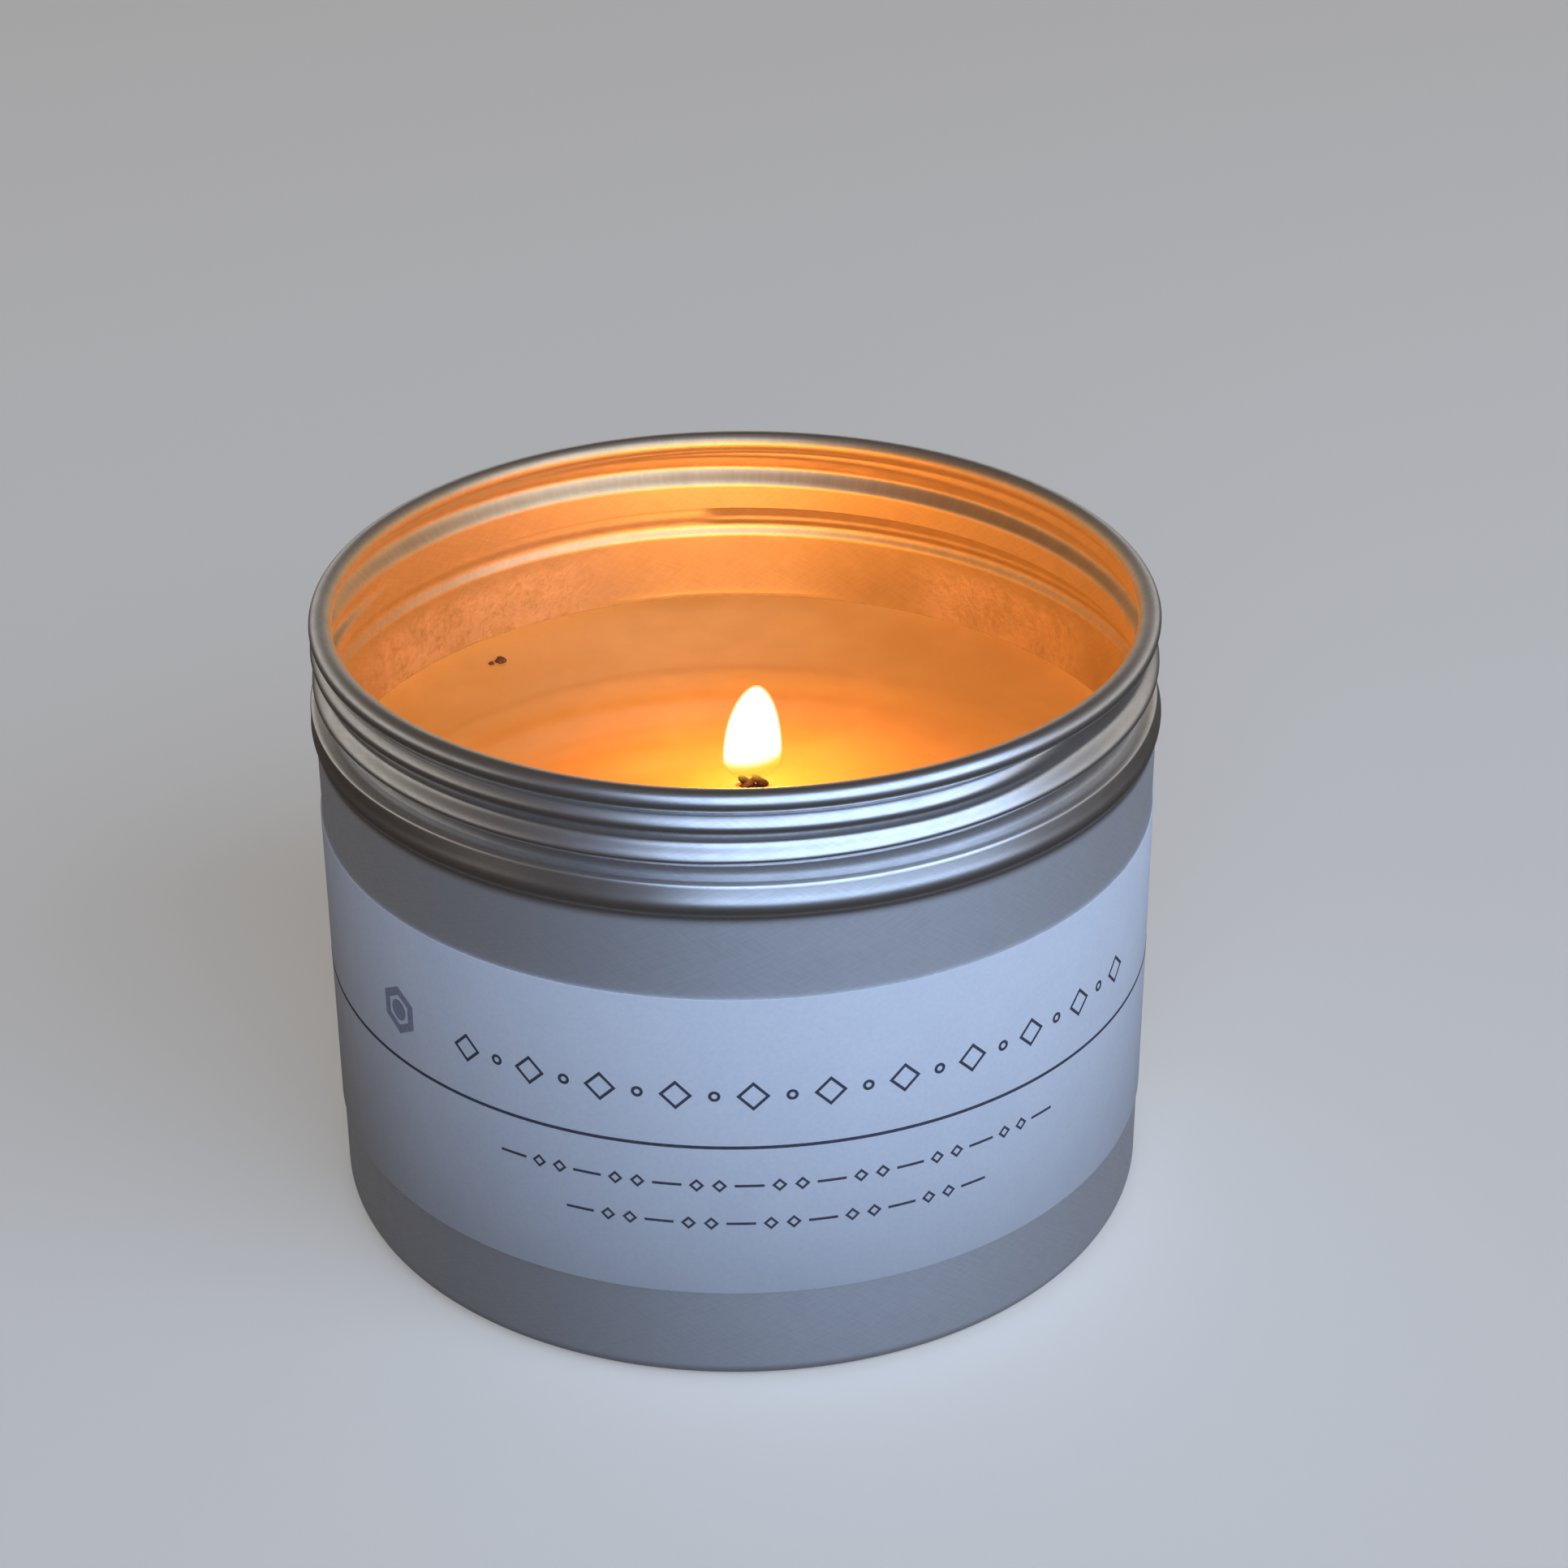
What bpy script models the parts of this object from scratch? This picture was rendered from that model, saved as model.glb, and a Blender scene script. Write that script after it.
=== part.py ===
"""A lit soy candle in a 66 mm screw-top aluminium tin.

Metres, +Z up. The origin is the middle of the base, on the surface that the tin stands on.
-Y is the front. Azimuths run counter-clockwise from +X, seen from above.
"""

import math

import bmesh
import bpy
from mathutils import Matrix

MM = 0.001
SEGMENTS = 64  # facets round the tin, shared by every piece that lies against it
SMALL_SEGMENTS = 32  # facets round the wick's tab and sticker
MERGE = 1e-6
GAP = 0.3 * MM  # room between a piece and the piece it rests on
LABEL_GAP = 0.1 * MM
PAPER = 0.12 * MM

# tin: one drawn sheet of aluminium
WALL = 0.4 * MM
WALL_RADIUS = 33.0 * MM
RIM_TOP = 50.7 * MM
RECESS_HEIGHT = 0.9 * MM
RECESS_RADIUS = 28.6 * MM
RING_INNER_RADIUS = 29.4 * MM
CORNER_RADIUS = 1.3 * MM

# stop bead that the lid closes down to: a wide lower roll and a tighter shoulder above it
ROLL_CENTRE = (32.35 * MM, 41.5 * MM)
ROLL_RADIUS = 1.0 * MM
SHOULDER_CENTRE = (32.5 * MM, 43.0 * MM)
SHOULDER_RADIUS = 0.5 * MM

# neck, with a right-hand thread rolled out of it from behind
NECK_RADIUS = 32.1 * MM
NECK_LOW = 43.8 * MM
NECK_TOP = 48.95 * MM
NECK_RINGS = 12
THREAD_DEPTH = 0.9 * MM
THREAD_HALF_WIDTH = 1.2 * MM
THREAD_LOW_HEIGHT = 45.5 * MM  # the crest, on the level stretch that the lid starts on
THREAD_RISE = 2.6 * MM
THREAD_START = -210.0  # degrees
THREAD_END = 325.0
RISE_FROM = -95.0  # degrees: level before this, and level again after the rise
RISE_OVER = 260.0
RUN_IN = 35.0  # degrees over which the ridge rises at its lower end
RUN_OUT = 30.0  # degrees over which it sinks again under the curl

# rolled rim
CURL_CENTRE = (32.1 * MM, 49.835 * MM)
CURL_RADIUS = 0.89 * MM

# labels
WRAP_LOW = 8.15 * MM
WRAP_TOP = 34.1 * MM
WRAP_SEAM_SEGMENTS = 1
BASE_LABEL_RADIUS = 22.0 * MM

# wax, solid below and melted on top
WAX_EDGE = 31.4 * MM
WAX_MIDDLE = 28.4 * MM
POOL_TOP = 34.4 * MM
DISH_RINGS = 4

# wick and its tab, stuck down a little off centre
WICK_SPOT = (1.2 * MM, -2.0 * MM)
WICK_WIDTH = 2.6 * MM
WICK_THICKNESS = 1.0 * MM
WICK_OUT = 1.2 * MM  # length that stands out of the pool
WICK_LEAN = 0.2 * MM
WICK_TIP_SCALE = 0.85
TAB_RADIUS = 10.0 * MM
TAB_SHEET = 0.3 * MM
TAB_BORE_RADIUS = 1.6 * MM
TAB_NECK_RADIUS = 2.05 * MM
TAB_NECK_HEIGHT = 3.3 * MM
STICKER_RADIUS = 9.0 * MM
STICKER_THICKNESS = 0.7 * MM

FLOOR_TOP = RECESS_HEIGHT + WALL
STICKER_LOW = FLOOR_TOP + GAP
TAB_LOW = STICKER_LOW + STICKER_THICKNESS + GAP


def clear_scene():
    for obj in list(bpy.data.objects):
        bpy.data.objects.remove(obj, do_unlink=True)


def material(name, colour, roughness, metallic=0.0):
    mat = bpy.data.materials.new(name)
    mat.use_nodes = True
    shader = mat.node_tree.nodes["Principled BSDF"]
    shader.inputs["Base Color"].default_value = (*colour, 1.0)
    shader.inputs["Roughness"].default_value = roughness
    shader.inputs["Metallic"].default_value = metallic
    mat.diffuse_color = (*colour, 1.0)
    return mat


def finish(name, bm, mat, spot=(0.0, 0.0)):
    """Turns a closed bmesh into the named object, at a spot on the tin's floor plan."""
    bmesh.ops.translate(bm, verts=bm.verts, vec=(spot[0], spot[1], 0.0))
    bmesh.ops.recalc_face_normals(bm, faces=bm.faces)
    mesh = bpy.data.meshes.new(name)
    bm.to_mesh(mesh)
    bm.free()
    mesh.materials.append(mat)
    mesh.shade_smooth()
    mesh.set_sharp_from_angle(angle=math.radians(35.0))
    obj = bpy.data.objects.new(name, mesh)
    bpy.context.scene.collection.objects.link(obj)
    return obj


def arc(centre, radius, start, end, steps):
    """Points (r, z) round a centre, from start to end degrees above the outward direction."""
    points = []
    for i in range(steps + 1):
        angle = math.radians(start + (end - start) * i / steps)
        points.append((centre[0] + radius * math.cos(angle), centre[1] + radius * math.sin(angle)))
    return points


def offset(points, distance):
    """The same path, moved to its left by a distance, with mitred corners."""
    moved = []
    for i, (r, z) in enumerate(points):
        normals = []
        for a, b in ((i - 1, i), (i, i + 1)):
            if a < 0 or b >= len(points):
                continue
            dr = points[b][0] - points[a][0]
            dz = points[b][1] - points[a][1]
            length = math.hypot(dr, dz)
            normals.append((-dz / length, dr / length))
        nr = sum(n[0] for n in normals) / len(normals)
        nz = sum(n[1] for n in normals) / len(normals)
        scale = distance / (nr * nr + nz * nz)
        moved.append((r + nr * scale, z + nz * scale))
    return moved


def turn(points, closed, segments, steps=None):
    """Spins a section (r, z) about Z into a closed body, or into an open strip if steps < segments."""
    steps = steps or segments
    bm = bmesh.new()
    verts = [bm.verts.new((r, 0.0, z)) for r, z in points]
    edges = [bm.edges.new(pair) for pair in zip(verts, verts[1:])]
    if closed:
        edges.append(bm.edges.new((verts[-1], verts[0])))
    bmesh.ops.spin(
        bm, geom=verts + edges, cent=(0.0, 0.0, 0.0), axis=(0.0, 0.0, 1.0),
        angle=math.tau * steps / segments, steps=steps, use_merge=steps == segments,
    )
    bmesh.ops.remove_doubles(bm, verts=bm.verts, dist=MERGE)
    return bm


def base_path():
    """The underside of the tin's sheet, from the axis to the foot of the wall."""
    corner_centre = (WALL_RADIUS - CORNER_RADIUS, CORNER_RADIUS)
    path = [(0.0, RECESS_HEIGHT), (RECESS_RADIUS, RECESS_HEIGHT), (RING_INNER_RADIUS, 0.0)]
    return path + arc(corner_centre, CORNER_RADIUS, -90.0, 0.0, 4)


def neck_heights():
    step = (NECK_TOP - NECK_LOW) / NECK_RINGS
    return [NECK_LOW + step * i for i in range(NECK_RINGS + 1)]


def side_path():
    """The outside of the tin's sheet, from the top of the plain wall to the curl."""
    roll = arc(ROLL_CENTRE, ROLL_RADIUS, -46.0, 35.0, 5)
    shoulder = arc(SHOULDER_CENTRE, SHOULDER_RADIUS, 0.0, 70.0, 3)
    wall_top = (WALL_RADIUS, roll[0][1] - 0.4 * MM)
    return [wall_top] + roll + shoulder + [(NECK_RADIUS, z) for z in neck_heights()]


def tin_section():
    outer = base_path() + side_path()
    inner = offset(outer, WALL)
    inner[0] = (0.0, inner[0][1])
    land = math.degrees(math.asin((RIM_TOP - CURL_CENTRE[1]) / CURL_RADIUS))
    curl = arc(CURL_CENTRE, CURL_RADIUS, -82.0, land, 8)
    curl += arc(CURL_CENTRE, CURL_RADIUS, 180.0 - land, 225.0, 7)
    return outer + curl + inner[::-1]


def thread_depth(azimuth, z):
    """How far the rolled ridge stands out of the neck at an azimuth in degrees and a height."""
    depth = 0.0
    for turns in (-1, 0, 1):
        along = azimuth + 360.0 * turns
        if THREAD_START < along < THREAD_END:
            risen = min(1.0, max(0.0, (along - RISE_FROM) / RISE_OVER))
            height = THREAD_LOW_HEIGHT + THREAD_RISE * risen
            across = abs(z - height) / THREAD_HALF_WIDTH
            ramp = min(1.0, (along - THREAD_START) / RUN_IN, (THREAD_END - along) / RUN_OUT)
            if across < 1.0:
                eased = ramp * ramp * (3.0 - 2.0 * ramp)
                depth = max(depth, THREAD_DEPTH * eased * math.cos(across * math.pi / 2.0) ** 1.6)
    return depth


def roll_thread(bm):
    """Moves the neck's two skins out together, so that the sheet keeps its thickness."""
    curl_bottom = CURL_CENTRE[1] - CURL_RADIUS
    for vert in bm.verts:
        x, y, z = vert.co
        radius = math.hypot(x, y)
        skin = NECK_RADIUS if radius > NECK_RADIUS - WALL / 2.0 else NECK_RADIUS - WALL
        if SHOULDER_CENTRE[1] < z < curl_bottom:
            wanted = skin + thread_depth(math.degrees(math.atan2(y, x)), z)
            if wanted > radius:
                vert.co.x = x * wanted / radius
                vert.co.y = y * wanted / radius


def make_tin_body():
    bm = turn(tin_section(), True, SEGMENTS)
    roll_thread(bm)
    finish("tin_body", bm, material("satin_aluminium", (0.55, 0.57, 0.59), 0.35, 1.0))


def make_wrap_label():
    inner = WALL_RADIUS + LABEL_GAP
    section = [(inner, WRAP_LOW), (inner + PAPER, WRAP_LOW), (inner + PAPER, WRAP_TOP), (inner, WRAP_TOP)]
    bm = turn(section, True, SEGMENTS, SEGMENTS - WRAP_SEAM_SEGMENTS)
    bmesh.ops.holes_fill(bm, edges=bm.edges, sides=4)
    to_back = Matrix.Rotation(math.radians(90.0) + math.tau * WRAP_SEAM_SEGMENTS / SEGMENTS, 4, "Z")
    bmesh.ops.transform(bm, matrix=to_back, verts=bm.verts)
    finish("wrap_label", bm, material("white_label_paper", (0.80, 0.82, 0.86), 0.6))


def disc_section(radius, low, top):
    return [(0.0, low), (radius, low), (radius, top), (0.0, top)]


def make_base_label():
    top = RECESS_HEIGHT - LABEL_GAP
    bm = turn(disc_section(BASE_LABEL_RADIUS, top - PAPER, top), False, SEGMENTS)
    finish("base_label", bm, material("base_label_paper", (0.83, 0.83, 0.81), 0.6))


def dish(edge_radius, edge, middle):
    """The pool's curved bed, from the wall in to the axis."""
    points = []
    for i in range(DISH_RINGS + 1):
        share = 1.0 - i / DISH_RINGS
        points.append((edge_radius * share, middle + (edge - middle) * share * share))
    return points


def rounded_bar(width, thickness, low, top):
    """An upright bar with round edges: the flat wick, and the hole that it passes through."""
    bm = bmesh.new()
    outline = []
    for side in (1.0, -1.0):
        for i in range(5):
            angle = math.pi * (i / 4.0 - 0.5)
            x = side * ((width - thickness) / 2.0 + math.cos(angle) * thickness / 2.0)
            outline.append(bm.verts.new((x, side * math.sin(angle) * thickness / 2.0, low)))
    face = bm.faces.new(outline)
    raised = bmesh.ops.extrude_face_region(bm, geom=[face], use_keep_orig=True)
    verts = [item for item in raised["geom"] if isinstance(item, bmesh.types.BMVert)]
    bmesh.ops.translate(bm, verts=verts, vec=(0.0, 0.0, top - low))
    return bm


def cut(obj, bm):
    """Takes a closed bmesh out of the object and drops it again."""
    cutter = finish(obj.name + "_cutter", bm, obj.data.materials[0], WICK_SPOT)
    modifier = obj.modifiers.new("cut", "BOOLEAN")
    modifier.operation = "DIFFERENCE"
    modifier.solver = "EXACT"
    modifier.object = cutter
    cutter.hide_render = True
    cutter.display_type = "WIRE"


def cut_wick_hole(obj):
    room = 2.0 * GAP
    cut(obj, rounded_bar(WICK_WIDTH + room, WICK_THICKNESS + room, -MM, RIM_TOP))


def make_wax_fill():
    radius = WALL_RADIUS - WALL - GAP
    bed = offset(base_path(), WALL + GAP)
    bed[0] = (0.0, bed[0][1])
    bm = turn(bed + dish(radius, WAX_EDGE, WAX_MIDDLE), False, SEGMENTS)
    wax = finish("wax_fill", bm, material("soy_wax", (0.90, 0.80, 0.62), 0.5))
    neck_top = TAB_LOW + TAB_NECK_HEIGHT + GAP
    pocket = [
        (0.0, -MM),
        (TAB_RADIUS + GAP, -MM),
        (TAB_RADIUS + GAP, TAB_LOW + TAB_SHEET + GAP),
        (TAB_NECK_RADIUS + GAP, TAB_LOW + TAB_SHEET + GAP),
        (TAB_NECK_RADIUS + GAP, neck_top),
        (0.0, neck_top),
    ]
    cut(wax, turn(pocket, False, SMALL_SEGMENTS))
    cut_wick_hole(wax)


def make_melt_pool():
    radius = WALL_RADIUS - WALL - GAP
    section = dish(radius, WAX_EDGE + GAP, WAX_MIDDLE + GAP)[::-1] + [(radius, POOL_TOP), (0.0, POOL_TOP)]
    bm = turn(section, False, SEGMENTS)
    pool = finish("melt_pool", bm, material("liquid_wax", (0.88, 0.62, 0.30), 0.05))
    cut_wick_hole(pool)


def make_wick():
    low = TAB_LOW + 0.1 * MM
    top = POOL_TOP + WICK_OUT
    bm = rounded_bar(WICK_WIDTH, WICK_THICKNESS, low, top)
    for height in (POOL_TOP, POOL_TOP + WICK_OUT / 2.0):
        geom = list(bm.verts) + list(bm.edges) + list(bm.faces)
        bmesh.ops.bisect_plane(bm, geom=geom, plane_co=(0.0, 0.0, height), plane_no=(0.0, 0.0, 1.0))
    for vert in bm.verts:
        share = max(0.0, (vert.co.z - POOL_TOP) / WICK_OUT)
        vert.co.x = vert.co.x * (1.0 - (1.0 - WICK_TIP_SCALE) * share) + WICK_LEAN * share * share
    finish("wick", bm, material("braided_cotton", (0.62, 0.55, 0.45), 0.9), WICK_SPOT)


def make_wick_tab():
    top = TAB_LOW + TAB_SHEET
    section = [
        (TAB_BORE_RADIUS, TAB_LOW),
        (TAB_RADIUS, TAB_LOW),
        (TAB_RADIUS, top),
        (TAB_NECK_RADIUS + 0.5 * MM, top),
        (TAB_NECK_RADIUS, top + 0.5 * MM),
        (TAB_NECK_RADIUS, TAB_LOW + TAB_NECK_HEIGHT),
        (TAB_BORE_RADIUS, TAB_LOW + TAB_NECK_HEIGHT),
    ]
    bm = turn(section, True, SMALL_SEGMENTS)
    finish("wick_tab", bm, material("tinned_steel", (0.60, 0.61, 0.62), 0.3, 1.0), WICK_SPOT)


def make_wick_sticker():
    section = disc_section(STICKER_RADIUS, STICKER_LOW, STICKER_LOW + STICKER_THICKNESS)
    bm = turn(section, False, SMALL_SEGMENTS)
    finish("wick_sticker", bm, material("foam_adhesive", (0.88, 0.88, 0.86), 0.8), WICK_SPOT)


clear_scene()
make_tin_body()
make_wrap_label()
make_base_label()
make_wax_fill()
make_melt_pool()
make_wick()
make_wick_tab()
make_wick_sticker()
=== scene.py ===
import math
import bmesh
import bpy
from mathutils import Matrix, Vector, noise


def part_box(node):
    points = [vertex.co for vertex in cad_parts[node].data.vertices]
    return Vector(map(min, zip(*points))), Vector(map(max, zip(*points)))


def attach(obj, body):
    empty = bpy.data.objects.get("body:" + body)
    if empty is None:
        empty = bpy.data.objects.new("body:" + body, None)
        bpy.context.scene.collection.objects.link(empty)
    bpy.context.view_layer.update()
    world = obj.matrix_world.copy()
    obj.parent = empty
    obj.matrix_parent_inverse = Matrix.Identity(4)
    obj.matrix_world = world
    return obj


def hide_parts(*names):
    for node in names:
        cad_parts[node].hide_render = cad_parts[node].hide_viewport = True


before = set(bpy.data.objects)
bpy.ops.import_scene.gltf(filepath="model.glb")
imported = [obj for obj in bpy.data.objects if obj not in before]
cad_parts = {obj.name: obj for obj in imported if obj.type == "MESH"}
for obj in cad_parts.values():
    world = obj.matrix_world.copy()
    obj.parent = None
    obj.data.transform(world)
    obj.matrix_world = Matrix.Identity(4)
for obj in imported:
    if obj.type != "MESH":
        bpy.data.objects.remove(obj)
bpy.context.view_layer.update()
mm = 0.001
print("frame loaded:", sorted(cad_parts))

# heights and widths that the pieces share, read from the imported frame
labelLow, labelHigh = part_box("wrap_label")
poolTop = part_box("melt_pool")[1].z
wickLow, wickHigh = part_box("wick")
tabLow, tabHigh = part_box("wick_tab")
wickX = (tabLow.x + tabHigh.x) / 2
wickY = (wickLow.y + wickHigh.y) / 2


# small helpers for meshes
def softStep(low, high, value):
    # smooth from 0 at low to 1 at high, and the other way round if high is the smaller
    share = min(1.0, max(0.0, (value - low) / (high - low)))
    return share * share * (3.0 - 2.0 * share)


def arc(centreR, centreZ, radiusR, radiusZ, start, end, steps):
    # points (r, z) of a round stretch, angles in degrees above the outward direction
    points = []
    for i in range(steps + 1):
        angle = math.radians(start + (end - start) * i / steps)
        points.append((centreR + radiusR * math.cos(angle), centreZ + radiusZ * math.sin(angle)))
    return points


def spinSection(points, segments, closed, turnBy=math.tau, inside=None):
    # a section drawn at +X, turned about Z; inside marks the points of an inner skin
    bm = bmesh.new()
    layer = bm.verts.layers.float.new("inside") if inside else None
    verts = [bm.verts.new((r, 0.0, z)) for r, z in points]
    if inside:
        for vert, mark in zip(verts, inside):
            vert[layer] = mark
    edges = [bm.edges.new(pair) for pair in zip(verts, verts[1:])]
    if closed:
        edges.append(bm.edges.new((verts[-1], verts[0])))
    full = turnBy == math.tau
    bmesh.ops.spin(bm, geom=verts + edges, cent=(0, 0, 0), axis=(0, 0, 1), angle=turnBy,
                   steps=segments, use_merge=full)
    bmesh.ops.remove_doubles(bm, verts=bm.verts, dist=1e-7)
    return bm


def wrapUv(bm, radius):
    # a UV map in millimetres: along the turn, and up the wall or in across the base
    layer = bm.loops.layers.uv.new("surface")
    for face in bm.faces:
        angles = [math.atan2(loop.vert.co.y, loop.vert.co.x) for loop in face.loops]
        crosses = max(angles) - min(angles) > math.pi
        for loop, angle in zip(face.loops, angles):
            if crosses and angle < 0:
                angle += math.tau
            out = math.hypot(loop.vert.co.x, loop.vert.co.y)
            loop[layer].uv = (angle * radius / mm, (loop.vert.co.z + radius - out) / mm)


def finishPiece(name, bm, mat, replaces=(), sharpAngle=40.0):
    bmesh.ops.recalc_face_normals(bm, faces=bm.faces)
    mesh = bpy.data.meshes.new(name)
    bm.to_mesh(mesh)
    bm.free()
    mesh.materials.append(mat)
    mesh.shade_smooth()
    mesh.set_sharp_from_angle(angle=math.radians(sharpAngle))
    piece = bpy.data.objects.new(name, mesh)
    bpy.context.scene.collection.objects.link(piece)
    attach(piece, "root")
    if replaces:
        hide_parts(*replaces)
    return piece


# small helpers for materials
def linear(hexColour):
    # sRGB hex to linear RGBA
    shares = [int(hexColour[i:i + 2], 16) / 255 for i in (1, 3, 5)]
    return [c / 12.92 if c <= 0.04045 else ((c + 0.055) / 1.055) ** 2.4 for c in shares] + [1.0]


def addNode(mat, kind, settings=None, inputs=None):
    # an input that is given a socket is linked to it, and any other is set
    new = mat.node_tree.nodes.new("ShaderNode" + kind)
    for name, value in (settings or {}).items():
        setattr(new, name, value)
    for name, value in (inputs or {}).items():
        if isinstance(value, bpy.types.NodeSocket):
            mat.node_tree.links.new(value, new.inputs[name])
        else:
            new.inputs[name].default_value = value
    return new


def newMaterial(name, values):
    mat = bpy.data.materials.new(name)
    mat.use_nodes = True
    shader = mat.node_tree.nodes["Principled BSDF"]
    for socket, value in values.items():
        shader.inputs[socket].default_value = value
    return mat, shader


def plug(mat, socket, target):
    mat.node_tree.links.new(socket, target)


def objectMm(mat):
    # object coordinates in millimetres
    coords = addNode(mat, "TexCoord").outputs["Object"]
    return addNode(mat, "Mapping", inputs={"Vector": coords, "Scale": (1 / mm,) * 3}).outputs[0]


def surfaceMm(mat, turn=0.0, stretch=(1.0, 1.0)):
    # the piece's own UV map, which is in millimetres, turned and stretched for a grain
    coords = addNode(mat, "UVMap", {"uv_map": "surface"}).outputs[0]
    turned = addNode(mat, "Mapping", inputs={"Vector": coords, "Rotation": (0, 0, math.radians(turn))})
    scale = (1 / stretch[0], 1 / stretch[1], 1.0)
    return addNode(mat, "Mapping", inputs={"Vector": turned.outputs[0], "Scale": scale}).outputs[0]


def noiseOf(mat, vector, size, detail=2.0, rough=0.5):
    settings = {"noise_dimensions": "3D"}
    inputs = {"Vector": vector, "Scale": 1 / size, "Detail": detail, "Roughness": rough}
    return addNode(mat, "TexNoise", settings, inputs).outputs["Fac"]


def remap(mat, value, low, high, toLow, toHigh, kind="LINEAR"):
    settings = {"interpolation_type": kind}
    inputs = {"Value": value, "From Min": low, "From Max": high, "To Min": toLow, "To Max": toHigh}
    return addNode(mat, "MapRange", settings, inputs).outputs[0]


def math2(mat, operation, a, b=0.0):
    return addNode(mat, "Math", {"operation": operation}, {0: a, 1: b}).outputs[0]


def mixColour(mat, share, a, b, blend="MIX"):
    settings = {"data_type": "RGBA", "blend_type": blend}
    return addNode(mat, "Mix", settings, {0: share, 6: a, 7: b}).outputs[2]


def bumpFrom(mat, height, depth, strength=1.0):
    inputs = {"Height": height, "Distance": depth, "Strength": strength}
    return addNode(mat, "Bump", inputs=inputs).outputs["Normal"]


# camera, floor and lights
cameraSetup = {
    "aim": (3.71 * mm, 0.0, 33.64 * mm),
    "distance": 268.7 * mm,
    "elevation": 28.6,  # degrees above the table
    "roll": -0.283,
    "lens": 77.04,
}


def makeCamera():
    data = bpy.data.cameras.new("camera")
    data.lens = cameraSetup["lens"]
    data.sensor_width = 36.0
    data.clip_start = 0.01
    data.clip_end = 50.0
    elevation = math.radians(cameraSetup["elevation"])
    back = Vector((0.0, -math.cos(elevation), math.sin(elevation))) * cameraSetup["distance"]
    turn = Matrix.Rotation(math.pi / 2 - elevation, 4, "X")
    turn = turn @ Matrix.Rotation(math.radians(cameraSetup["roll"]), 4, "Z")
    camera = bpy.data.objects.new("camera", data)
    camera.matrix_world = Matrix.Translation(Vector(cameraSetup["aim"]) + back) @ turn
    bpy.context.scene.collection.objects.link(camera)
    bpy.context.scene.camera = camera


studio = {
    "floorHalf": 3.0,  # metres
    "floorColour": "#f2ede4",
    "paintedReflectionColour": "#58452f",  # the floor's colour to every ray but the camera's: a painted brown reflection in the tin below
    "roomColour": "#463b31",
    "wallColour": "#c8c0b6",  # pale walls behind the tin and beside it, dark above
    "wallWay": (-0.7, -0.1),  # fades in between these, where -1 is the front and 1 the back
    "wallHeight": (0.25, 0.5),  # and out between these, where 1 is straight up
    "floorLift": 0.2,
    "keyColour": "#bfd9ff",
    "keyPower": 14.8,
    "keyAzimuth": -60.0,
    "keyElevation": 27.0,
    "keyDistance": 1.0,
    "keyWidth": 1.8,
    "keyHeight": 1.3,
}


def addArea(name, colour, power, azimuth, elevation, distance, width, height):
    data = bpy.data.lights.new(name, "AREA")
    data.shape = "RECTANGLE"
    data.size = width
    data.size_y = height
    data.energy = power
    data.color = linear(colour)[:3]
    az = math.radians(azimuth)
    el = math.radians(elevation)
    away = Vector((math.cos(az) * math.cos(el), math.sin(az) * math.cos(el), math.sin(el)))
    lamp = bpy.data.objects.new(name, data)
    facing = away.to_track_quat("Z", "Y").to_matrix().to_4x4()
    lamp.matrix_world = Matrix.Translation(away * distance) @ facing
    bpy.context.scene.collection.objects.link(lamp)


def makeStudio():
    bm = bmesh.new()
    bmesh.ops.create_grid(bm, x_segments=8, y_segments=8, size=studio["floorHalf"])
    mesh = bpy.data.meshes.new("floor")
    bm.to_mesh(mesh)
    bm.free()
    mat, shader = newMaterial("studioFloorPaintedReflection", {"Roughness": 0.8})
    # pale to the camera and brown to every other ray: a painted brown reflection of the floor in the tin
    seen = addNode(mat, "LightPath").outputs["Is Camera Ray"]
    pale = linear(studio["floorColour"])
    plug(mat, mixColour(mat, seen, linear(studio["paintedReflectionColour"]), pale), shader.inputs["Base Color"])
    plug(mat, mixColour(mat, seen, (0, 0, 0, 1), pale), shader.inputs["Emission Color"])
    shader.inputs["Emission Strength"].default_value = studio["floorLift"]
    mesh.materials.append(mat)
    floor = bpy.data.objects.new("floor", mesh)
    bpy.context.scene.collection.objects.link(floor)
    world = bpy.data.worlds.new("world")
    world.use_nodes = True
    way = addNode(world, "SeparateXYZ", inputs={0: addNode(world, "TexCoord").outputs["Generated"]}).outputs
    behind = remap(world, way[1], *studio["wallWay"], 0.0, 1.0)
    low = remap(world, way[2], *studio["wallHeight"], 1.0, 0.0)
    room = mixColour(world, math2(world, "MULTIPLY", behind, low), linear(studio["roomColour"]),
                     linear(studio["wallColour"]))
    plug(world, room, world.node_tree.nodes["Background"].inputs["Color"])
    bpy.context.scene.world = world
    bpy.context.scene.view_settings.view_transform = "Standard"
    addArea("key", studio["keyColour"], studio["keyPower"], studio["keyAzimuth"], studio["keyElevation"],
            studio["keyDistance"], studio["keyWidth"], studio["keyHeight"])


makeCamera()
makeStudio()
print("camera and studio made")


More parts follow.
